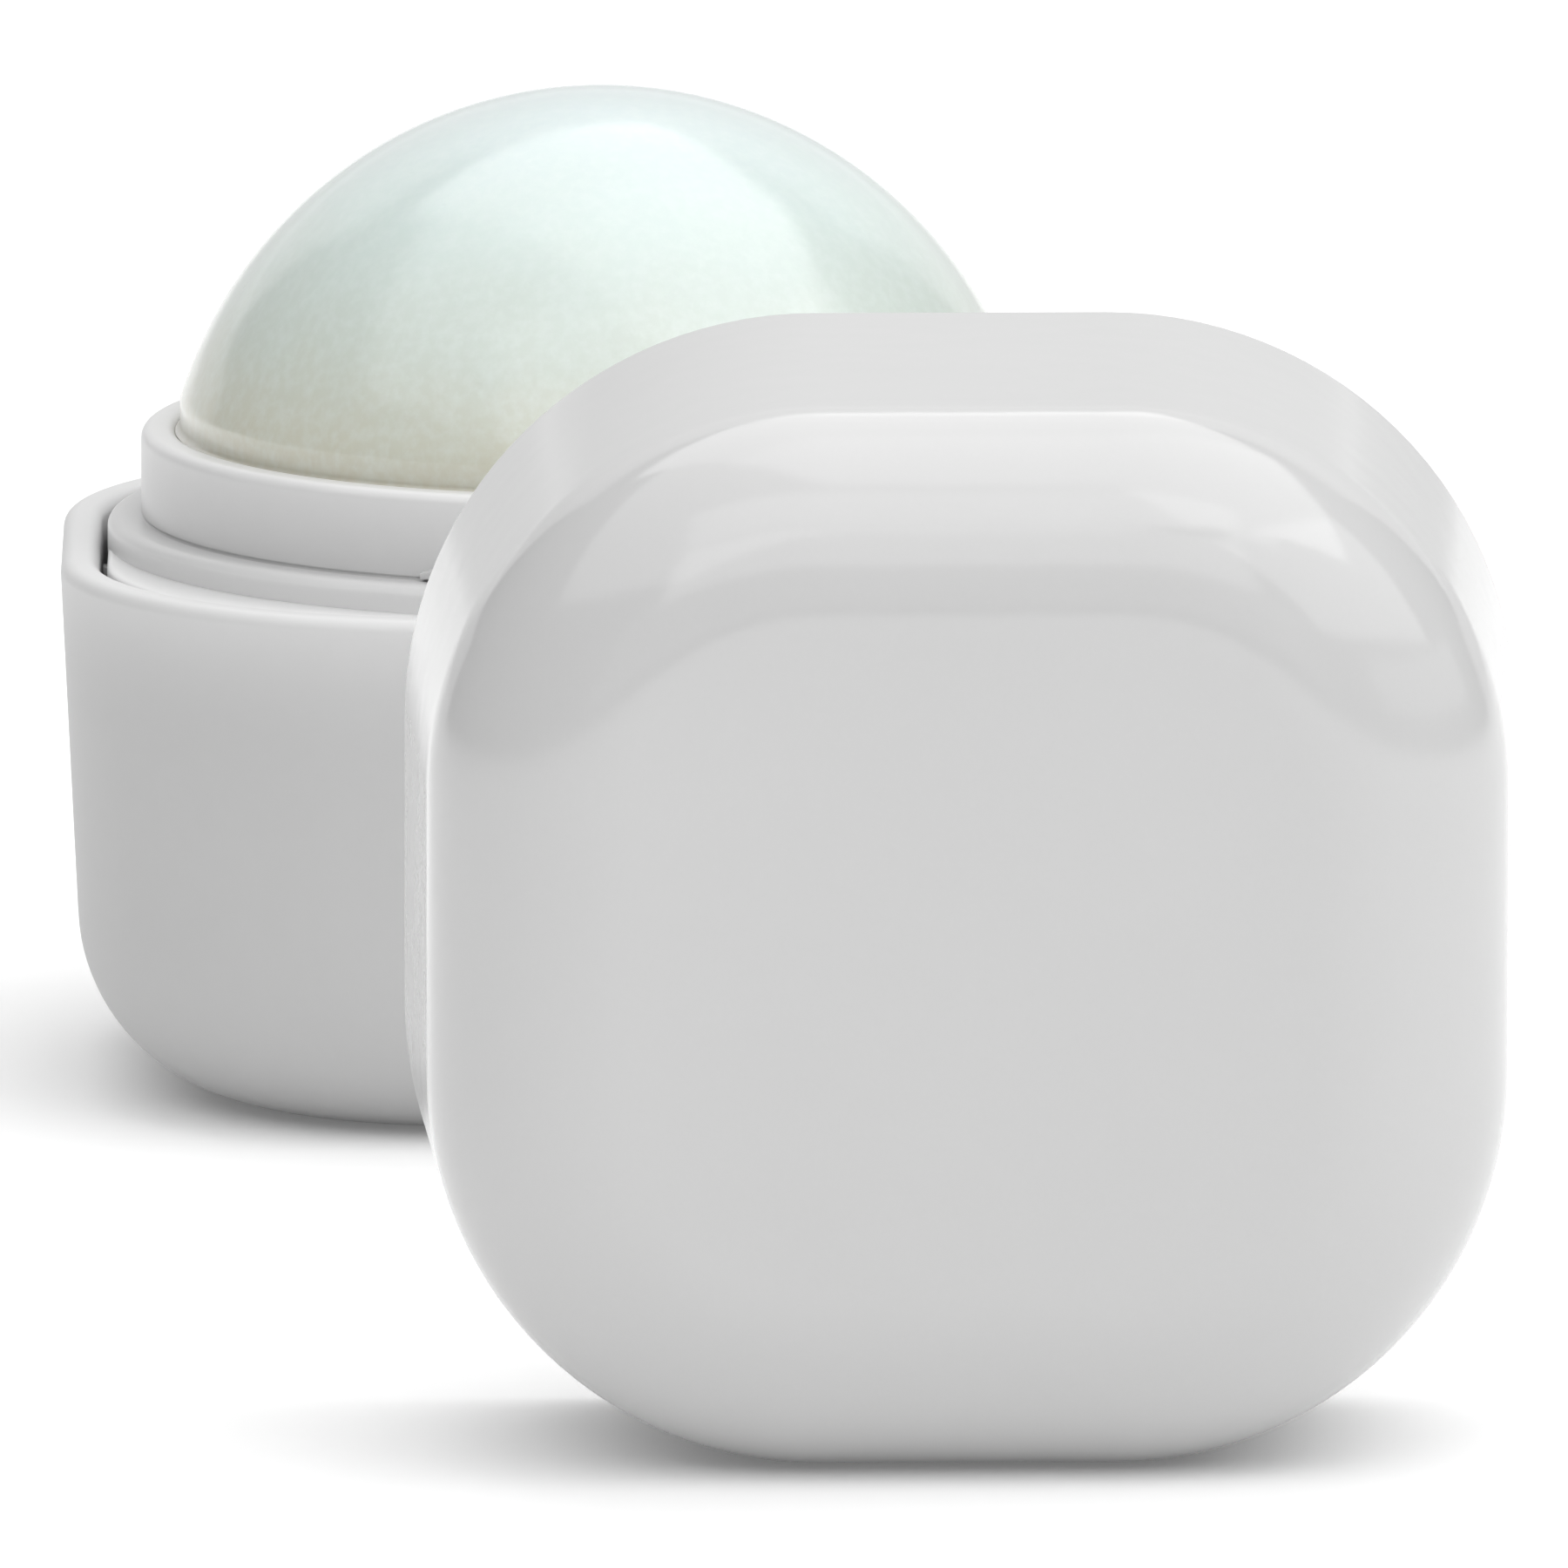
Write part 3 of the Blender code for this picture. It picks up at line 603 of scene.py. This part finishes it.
def piece(name, meshes, finish, body, stands_for, place=Matrix.Identity(4)):
    """Joins meshes into one piece with its place in its mesh, and tells the frame what it is."""
    bm = bmesh.new()
    for mesh in meshes:
        bm.from_mesh(mesh)
    bmesh.ops.transform(bm, matrix=place, verts=bm.verts)
    for face in bm.faces:
        face.material_index = 0
    joined = bpy.data.meshes.new(name)
    bm.to_mesh(joined)
    bm.free()
    joined.materials.append(finish)
    for mesh in meshes:
        bpy.data.meshes.remove(mesh)
    made = bpy.data.objects.new(name, joined)
    bpy.context.scene.collection.objects.link(made)
    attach(made, body)
    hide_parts(stands_for)


def rib_pattern(height, top, face):
    """One rib's solid, standing on the +X flat of a cup."""
    sink = WALL * RIB_SINK_SHARE
    radius = END_FILLET - sink
    inset = (height - END_FILLET) * math.tan(DRAFT) + END_FILLET / math.cos(DRAFT)
    centre = (RIM_HALF_WIDTH - inset, END_FILLET)
    back = RIM_HALF_WIDTH - (height - top) * math.tan(DRAFT) - sink
    lowest = math.acos((face - centre[0]) / radius)
    profile = [(face, top), (back, top)] + arc(centre, radius, -DRAFT, -lowest, EDGE_STEPS)
    bm = bmesh.new()
    sides = (-RIB_THICKNESS / 2, RIB_THICKNESS / 2)
    near, far = [[bm.verts.new((x, y, z)) for x, z in profile] for y in sides]
    bm.faces.new(near)
    bm.faces.new(reversed(far))
    for i in range(len(profile)):
        bm.faces.new((near[i - 1], near[i], far[i], far[i - 1]))
    bmesh.ops.recalc_face_normals(bm, faces=bm.faces)
    mesh = bpy.data.meshes.new("rib_pattern")
    bm.to_mesh(mesh)
    bm.free()
    pattern = bpy.data.objects.new("rib_pattern", mesh)
    bpy.context.scene.collection.objects.link(pattern)
    return pattern


def cup_meshes(height, rib_top, rib_face, finish):
    shell = cups.grow({"Height": height}, finish)
    pattern = rib_pattern(height, rib_top, rib_face)
    inside = ribs.grow({}, finish, pattern)
    bpy.data.objects.remove(pattern)
    return [shell, inside]


def new_finish(name):
    """A new material, its tree, its shader and the place on the object."""
    material = bpy.data.materials.new(name)
    material.use_nodes = True
    tree = Tree(material.node_tree)
    shader = material.node_tree.nodes["Principled BSDF"]
    place = tree.node("ShaderNodeTexCoord", {}, [], output="Object")
    return material, tree, shader, place


def connect(tree, field, shader, name):
    tree.tree.links.new(field.socket, shader.inputs[name])


def fix(shader, values):
    """Sets the sockets that are the same all over."""
    for name, value in values.items():
        shader.inputs[name].default_value = value


def emboss(tree, shader, strength, depth, height):
    """Fine relief, to a depth, that only tilts the surface's normals."""
    values = {"Strength": strength, "Distance": depth, "Height": height}
    connect(tree, tree.node("ShaderNodeBump", {}, values), shader, "Normal")


def noise(tree, place, size, detail=2.0, roughness=0.5):
    """Soft noise, from 0 to 1, whose features are about this size."""
    values = {"Vector": place, "Scale": 1.0 / size, "Detail": detail, "Roughness": roughness}
    return tree.node("ShaderNodeTexNoise", {}, values)


def grey(value):
    return (value, value, value, 1.0)


def specks(tree, place):
    """Rare dust specks: 1 inside one and 0 elsewhere."""
    cells = {"Vector": place, "Scale": 1.0 / SPECK_SPACING}
    spot = tree.node("ShaderNodeTexVoronoi", {"feature": "F1"}, cells)
    tint = tree.node("ShaderNodeTexVoronoi", {"feature": "F1"}, cells, output="Color")
    return (1.0 - spot.ramp(0.02, 0.045)) * tint.part("X").over(SPECK_RARITY)


def satin_plastic(name, albedo, roughness, grain, painted_highlights=()):
    """Fine spark-eroded texture with faint shifts of tone; between given levels the colour is painted paler,
    a painted highlight on rims and ledges.
    """
    material, tree, shader, place = new_finish(name)
    broad = noise(tree, place, 7.0 * MM)
    clouds = noise(tree, place, 0.9 * MM, 3.0)
    fine = noise(tree, place, grain, 3.0, 0.6)
    tone = 0.5 * broad + 0.3 * clouds + 0.2 * fine
    colour = tree.mix_colour(tone, grey(albedo * 0.965), grey(albedo * 1.035))
    # Painted highlight: the colour turns paler between two levels, standing in for light falling on rims and
    # ledges
    for start, end, share in painted_highlights:
        highlight_share = place.part("Z").ramp(start, end) ** 2.0
        colour = tree.mix_colour(share * highlight_share, colour, grey(albedo * 1.5))
    colour = tree.mix_colour(0.3 * specks(tree, place), colour, grey(0.1))
    connect(tree, colour, shader, "Base Color")
    sheen = roughness - 0.05 + 0.06 * broad + 0.05 * fine
    connect(tree, sheen, shader, "Roughness")
    emboss(tree, shader, 0.35, 0.006 * MM, fine + 0.4 * clouds)
    return material


def gloss_plastic(name, albedo):
    """Polished moulding: a slight orange peel, faint handling haze and barely any tone."""
    material, tree, shader, place = new_finish(name)
    broad = noise(tree, place, 11.0 * MM)
    peel = noise(tree, place, 2.2 * MM, 1.0)
    haze = noise(tree, place, 4.0 * MM, 4.0, 0.65)
    fine = noise(tree, place, 0.16 * MM, 2.0)
    colour = tree.mix_colour(0.6 * broad + 0.4 * fine, grey(albedo * 0.975), grey(albedo * 1.025))
    colour = tree.mix_colour(0.3 * specks(tree, place), colour, grey(0.1))
    connect(tree, colour, shader, "Base Color")
    smear = haze.ramp(0.48, 0.75)
    connect(tree, 0.11 + 0.03 * smear + 0.02 * fine, shader, "Roughness")
    emboss(tree, shader, 1.0, 0.012 * MM, peel + 0.006 * fine)
    fix(shader, {"IOR": 1.6})
    return material


def cast_wax(name):
    """Pale mint wax with a soft shine: cloudy, with pin pores; its colour is painted darker and warmer
    towards the collar and paler and cooler at the crown, partly its own tint and partly painted shade and
    light.
    """
    material, tree, shader, place = new_finish(name)
    level = place.part("Z")
    clouds = noise(tree, place, 3.2 * MM, 4.0, 0.55)
    mottle = noise(tree, place, 0.45 * MM, 3.0, 0.6)
    fine = noise(tree, place, 0.12 * MM, 2.0)
    cells = {"Vector": place, "Scale": 1.0 / PORE_SPACING}
    pore = 1.0 - tree.node("ShaderNodeTexVoronoi", {"feature": "F1"}, cells).ramp(0.03, 0.09)
    # Painted shade and light by level: dark olive at the collar to pale cool mint at the crown, partly the
    # wax's own tint
    wandering = level + TONE_WANDER * (clouds - 0.5)
    tint_and_shade_height = wandering.ramp(COLLAR_TOP, DOME_CENTRE + DOME_TALLNESS)
    stops = [
        (0.0, (0.59, 0.575, 0.47, 1.0)),
        (0.35, (0.595, 0.65, 0.595, 1.0)),
        (0.7, (0.62, 0.71, 0.68, 1.0)),
        (1.0, (0.625, 0.715, 0.715, 1.0)),
    ]
    tint_and_painted_shade = tree.node("ShaderNodeValToRGB", {"stops": stops}, [tint_and_shade_height])
    speckle = 0.28 * mottle.ramp(0.4, 0.7)
    connect(tree, tree.mix_colour(speckle, tint_and_painted_shade, (0.72, 0.785, 0.76, 1.0)), shader, "Base Color")
    connect(tree, 0.28 + 0.08 * clouds + 0.08 * mottle, shader, "Roughness")
    emboss(tree, shader, 0.3, 0.02 * MM, 0.5 * mottle + 0.25 * fine + 1.5 * clouds - 0.8 * pore)
    fix(
        shader,
        {
            "Subsurface Weight": 0.55,
            "Subsurface Radius": (1.0, 1.15, 1.0),
            "Subsurface Scale": 1.0 * MM,
            "IOR": 1.44,
            "Coat Weight": 1.0,
            "Coat Roughness": 0.15,
        },
    )
    return material


def pale_floor(name):
    """Matt white paper that is overexposed, so it glows a little."""
    material, tree, shader, place = new_finish(name)
    tone = noise(tree, place, 20.0 * MM)
    connect(tree, tree.mix_colour(tone, grey(0.925), grey(0.935)), shader, "Base Color")
    fix(
        shader,
        {
            "Roughness": 0.9,
            "Specular IOR Level": 0.1,
            "Emission Color": grey(1.0),
            "Emission Strength": 0.09,
        },
    )
    return material


def neck_ring():
    """Collar, step, barrel and shelf."""
    rim = COLLAR_TOP - COLLAR_ROUND
    profile = arc((COLLAR_RADIUS - COLLAR_ROUND, rim), COLLAR_ROUND, QUARTER_TURN, 0.0, EDGE_STEPS)
    groove = (COLLAR_RADIUS - FOOT_GROOVE, STEP_TOP + FOOT_GROOVE_CENTRE)
    groove_arc = arc(groove, FOOT_GROOVE, 0.0, -QUARTER_TURN, EDGE_STEPS)
    profile += run(profile[-1], groove_arc[0]) + groove_arc + [(groove[0], STEP_TOP)]
    shoulder_centre = (STEP_RADIUS - STEP_ROUND, STEP_TOP - STEP_ROUND)
    shoulder = arc(shoulder_centre, STEP_ROUND, QUARTER_TURN, 0.0, EDGE_STEPS)
    profile += run(profile[-1], shoulder[0], SHORT_RUN_STEPS) + shoulder
    stops = [
        (STEP_RADIUS, FLANGE_TOP - STEP_LAP),
        (COLLAR_RADIUS, FLANGE_TOP - STEP_LAP),
        (COLLAR_RADIUS, BARREL_BOTTOM),
        (SHELF_BORE, BARREL_BOTTOM),
        (SHELF_BORE, SHELF_TOP),
        (COLLAR_BORE, SHELF_TOP),
    ]
    for stop in stops:
        profile += run(profile[-1], stop) + [stop]
    inner = arc((COLLAR_BORE + COLLAR_ROUND, rim), COLLAR_ROUND, math.pi, QUARTER_TURN, EDGE_STEPS)
    profile += run(profile[-1], inner[0]) + inner
    profile += run(profile[-1], profile[0], RIM_TOP_STEPS)
    return turned("neck_ring", profile, closed=True)


def flange():
    """The rounded-square plate under the step, hollow where the ring passes."""
    corner = CORNER_RADIUS - WALL - NECK_SLOT
    hole = circle((COLLAR_RADIUS + COLLAR_BORE) / 2, outline(FLANGE_HALF_WIDTH, corner))
    top_centre = (-FLANGE_ROUND, FLANGE_TOP - FLANGE_ROUND)
    top = arc(top_centre, FLANGE_ROUND, QUARTER_TURN, 0.0, SMALL_EDGE_STEPS)
    bottom_centre = (-FLANGE_ROUND, FLANGE_BOTTOM + FLANGE_ROUND)
    bottom = arc(bottom_centre, FLANGE_ROUND, 0.0, -QUARTER_TURN, SMALL_EDGE_STEPS)
    rings = [(hole, FLANGE_TOP)]
    for offset, level in top + bottom:
        rings.append((outline(FLANGE_HALF_WIDTH + offset, corner + offset), level))
    rings.append((hole, FLANGE_BOTTOM))
    return skin("flange", rings, closed=True)


def balm_solid():
    """A slightly tall dome on a short cylinder that wets the collar; a socket takes the post."""
    cast_radius = COLLAR_BORE - CAST_GAP
    drop = math.acos(cast_radius / DOME_WIDTH)
    profile = []
    for across, up in arc((0.0, 0.0), 1.0, QUARTER_TURN, drop, DOME_STEPS):
        profile.append((DOME_WIDTH * across, DOME_CENTRE + DOME_TALLNESS * up))
    profile[0] = (0.0, DOME_CENTRE + DOME_TALLNESS)
    edge_round = (COLLAR_BORE + COLLAR_ROUND, COLLAR_TOP - COLLAR_ROUND)
    wetted = arc(edge_round, COLLAR_ROUND + WETTING_GAP, WETTING_TURN, math.pi, EDGE_STEPS)
    radius = (wetted[0][0] - cast_radius) / (1.0 - math.cos(MENISCUS_TURN))
    centre = (cast_radius + radius, wetted[0][1] + radius * math.sin(MENISCUS_TURN))
    meniscus = arc(centre, radius, math.pi, math.pi + MENISCUS_TURN, EDGE_STEPS)
    profile += run(profile[-1], meniscus[0], SHORT_RUN_STEPS) + meniscus + wetted[1:]
    inside = COLLAR_BORE - WETTING_GAP
    stops = [
        (inside, BALM_BOTTOM + BALM_CHAMFER),
        (inside - BALM_CHAMFER, BALM_BOTTOM),
        (POST_RADIUS + SEAT_GAP, BALM_BOTTOM),
        (POST_RADIUS + SEAT_GAP, ANCHOR_TOP + POST_HEIGHT + SEAT_GAP),
        (0.0, ANCHOR_TOP + POST_HEIGHT + SEAT_GAP),
    ]
    for stop in stops:
        profile += run(profile[-1], stop, CAST_STEPS) + [stop]
    return turned("balm_solid", profile)


def liner_skin():
    """Domed crown and square plug in one skin, from the crown's inside to its outside."""
    mouth_half = INNER_HALF_WIDTH - LINER_MOUTH * math.tan(DRAFT) - SEAT_GAP
    mouth_corner = CORNER_RADIUS - RIM_HALF_WIDTH + mouth_half
    like = outline(mouth_half, mouth_corner)

    def square(offset, level):
        inset = offset - (level - LINER_MOUTH) * math.tan(DRAFT)
        return outline(mouth_half + inset, mouth_corner + inset)

    def dome(radius, level, upwards):
        waist = math.asin((level - LINER_DOME_CENTRE) / radius)
        ends = (waist, QUARTER_TURN) if upwards else (QUARTER_TURN, waist)
        return arc((0.0, LINER_DOME_CENTRE), radius, *ends, DOME_STEPS)

    profile = dome(LINER_DOME_INNER, LINER_SHOULDER, False)[1:]
    shoulder = (LINER_BORE, LINER_SHOULDER)
    mouth_centre = (LINER_BORE + LINER_ROUND, LINER_MOUTH + LINER_ROUND)
    mouth = arc(mouth_centre, LINER_ROUND, math.pi, 3 * QUARTER_TURN, EDGE_STEPS)
    profile += run(profile[-1], shoulder) + [shoulder]
    profile += run(profile[-1], mouth[0]) + mouth
    rings = [([(0.0, 0.0)], LINER_DOME_CENTRE + LINER_DOME_INNER)]
    rings += [(circle(radius, like), level) for radius, level in profile]
    edge = arc((-LINER_ROUND, LINER_MOUTH + LINER_ROUND), LINER_ROUND, -QUARTER_TURN, 0.0, EDGE_STEPS)
    rings += [(square(offset, level), level) for offset, level in edge]
    rings += [(square(0.0, level), level) for _, level in run(edge[-1], (0.0, LINER_PLUG_TOP))]
    rings.append((square(0.0, LINER_PLUG_TOP), LINER_PLUG_TOP))
    crown = dome(LINER_DOME_OUTER, LINER_PLUG_TOP, True)[:-1]
    rings += [(circle(radius, like), level) for radius, level in crown]
    rings.append(([(0.0, 0.0)], LINER_DOME_CENTRE + LINER_DOME_OUTER))
    return skin("liner_skin", rings)


def softbox(name, spot, facing, width, height, brightness, turn=0.0):
    """A rectangular softbox of even brightness; white paper is 1. The camera looks past it."""
    light = bpy.data.lights.new(name, "AREA")
    light.shape = "RECTANGLE"
    light.size = width
    light.size_y = height
    light.energy = brightness * math.pi * width * height
    holder = bpy.data.objects.new(name, light)
    bpy.context.scene.collection.objects.link(holder)
    holder.location = spot
    aimed = (-Vector(facing)).to_track_quat("Z", "Y")
    holder.rotation_euler = (Quaternion((0.0, 0.0, 1.0), turn) @ aimed).to_euler()
    holder.visible_camera = False


def overhead(name, x, y, width, depth, brightness, turn):
    """A softbox that faces straight down; x and y are from the lit spot."""
    spot = (LIT_SPOT.x + x, LIT_SPOT.y + y, OVERHEAD_HEIGHT)
    softbox(name, spot, (0.0, 0.0, -1.0), width, depth, brightness, turn)


def standing(name, bearing, elevation, distance, width, height, brightness):
    """A softbox that faces the lit spot; bearing 0 is behind it and 90 degrees to its right."""
    level = math.cos(elevation)
    way = Vector((math.sin(bearing) * level, math.cos(bearing) * level, math.sin(elevation)))
    softbox(name, LIT_SPOT + distance * way, -way, width, height, brightness)


cups = cup_shape()
ridges = ridge_shape()
ribs = rib_shape()

# Albedo, and for the satin finishes roughness, grain and painted highlights by level
satin_white = satin_plastic("satin_white_moulding", 0.515, 0.42, 0.14 * MM, [RIM_PAINTED_HIGHLIGHT])
neck_white = satin_plastic("smooth_white_moulding", 0.595, 0.3, 0.2 * MM, [COLLAR_PAINTED_HIGHLIGHT, LEDGE_PAINTED_HIGHLIGHT])
liner_white = satin_plastic("liner_white_moulding", 0.63, 0.33, 0.25 * MM)
natural = satin_plastic("natural_moulding", 0.7, 0.45, 0.2 * MM)
gloss_white = gloss_plastic("gloss_white_moulding", 0.583)
wax = cast_wax("pale_mint_wax")

cap_place = Matrix.Translation((CAP_ASIDE_X, CAP_ASIDE_Y, RIM_HALF_WIDTH * math.cos(DRAFT)))
cap_place = cap_place @ Euler((QUARTER_TURN + DRAFT, 0.0, CAP_YAW)).to_matrix().to_4x4()
cap_flip = Matrix.Translation((0.0, 0.0, CAP_HEIGHT)) @ Matrix.Rotation(math.pi, 4, "X")

# The base's ribs carry the flange and clear the barrel; the cap's stop on the plug and clear the crown
base_cup = cup_meshes(BASE_HEIGHT, FLANGE_BOTTOM - SEAT_GAP, COLLAR_RADIUS + SEAT_GAP, satin_white)
piece("base_moulding", base_cup, satin_white, "base", "base_shell")
rib_stop = LINER_PLUG_TOP + SEAT_GAP
crown_there = math.sqrt(LINER_DOME_OUTER**2 - (rib_stop - LINER_DOME_CENTRE) ** 2)
cap_cup = cup_meshes(CAP_HEIGHT, CAP_HEIGHT - rib_stop, crown_there + SEAT_GAP, gloss_white)
cup_place = cap_place @ cap_flip
piece("cap_moulding", cap_cup, gloss_white, "cap", "cap_shell", cup_place)

neck = [neck_ring(), flange(), ridges.grow({}, neck_white)]
piece("neck_moulding", neck, neck_white, "base", "neck_insert")
piece("balm_cast", [balm_solid()], wax, "base", "balm")

liner_thread = {
    "Radius": LINER_BORE,
    "Level": LINER_RIDGE_LEVEL,
    "From": LINER_RIDGE_FROM,
    "To": LINER_RIDGE_TO,
    "Outward": -1.0,
}
liner = [liner_skin(), ridges.grow(liner_thread, liner_white)]
piece("liner_moulding", liner, liner_white, "cap", "cap_liner", cap_place)

# The anchor is inside the wax, so its solid stays and only takes its finish
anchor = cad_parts["balm_anchor"]
anchor.data.materials.clear()
anchor.data.materials.append(natural)

camera = bpy.data.objects.new("camera", bpy.data.cameras.new("camera"))
bpy.context.scene.collection.objects.link(camera)
camera.data.sensor_width = SENSOR
camera.data.lens = SENSOR * CAMERA_DISTANCE * PIXELS_PER_METRE / IMAGE_SIDE
camera.data.clip_start = 0.1
camera.data.clip_end = 50.0
camera.location = AIM + CAMERA_DISTANCE * Vector((0.0, -math.cos(ELEVATION), math.sin(ELEVATION)))
camera.rotation_euler = (QUARTER_TURN - ELEVATION, 0.0, 0.0)
bpy.context.scene.camera = camera

floor_mesh = bpy.data.meshes.new("floor")
floor_corners = [(x * FLOOR_HALF, y * FLOOR_HALF, 0.0) for x, y in ((-1, -1), (1, -1), (1, 1), (-1, 1))]
floor_mesh.from_pydata(floor_corners, [], [(0, 1, 2, 3)])
floor_mesh.materials.append(pale_floor("pale_floor"))
floor = bpy.data.objects.new("floor", floor_mesh)
bpy.context.scene.collection.objects.link(floor)

# Right of the lit spot, behind it, width, depth, brightness and turn
overhead("key_box", 0.283, 0.02, 0.66, 0.7, 1.87, SKEW)
overhead("key_heart", 0.36, -0.2, 0.18, 0.44, 1.0, 12.0 * DEGREE)
overhead("back_box", -0.055, 0.455, 0.62, 0.42, 1.5, SKEW)
overhead("left_box", -0.407, -0.315, 0.85, 0.97, 0.9, SKEW)

# Bearing and elevation, distance from the lit spot, width, height and brightness
standing("right_box", 110.0 * DEGREE, 36.0 * DEGREE, 0.8, 0.9, 0.45, 1.2)
standing("right_strip", 95.0 * DEGREE, 11.0 * DEGREE, 1.0, 1.2, 0.2, 0.48)
standing("front_box", 180.0 * DEGREE, 37.0 * DEGREE, 1.0, 1.0, 0.4, 1.15)
standing("front_top_box", 180.0 * DEGREE, 60.0 * DEGREE, 0.8, 0.8, 0.3, 0.83)
standing("front_low_box", 180.0 * DEGREE, 14.0 * DEGREE, 0.9, 1.2, 0.36, 0.26)
standing("wall_top", 0.0, 36.0 * DEGREE, 0.9, 1.2, 0.2, 0.6)
standing("back_wall", 0.0, 20.0 * DEGREE, 0.9, 1.2, 0.33, 0.56)
standing("low_card", 0.0, 4.0 * DEGREE, 0.62, 1.2, 0.14, 0.55)

# A small pale card in front of the base, which the cap's left wall mirrors
softbox("edge_card", EDGE_CARD_SPOT, (0.0, -1.0, 0.0), 34.0 * MM, 44.0 * MM, 0.1)

world = bpy.data.worlds.new("studio")
bpy.context.scene.world = world
world.use_nodes = True
fix(world.node_tree.nodes["Background"], {"Color": grey(1.0), "Strength": SKY_GLOW})
bpy.context.scene.view_settings.view_transform = "Standard"
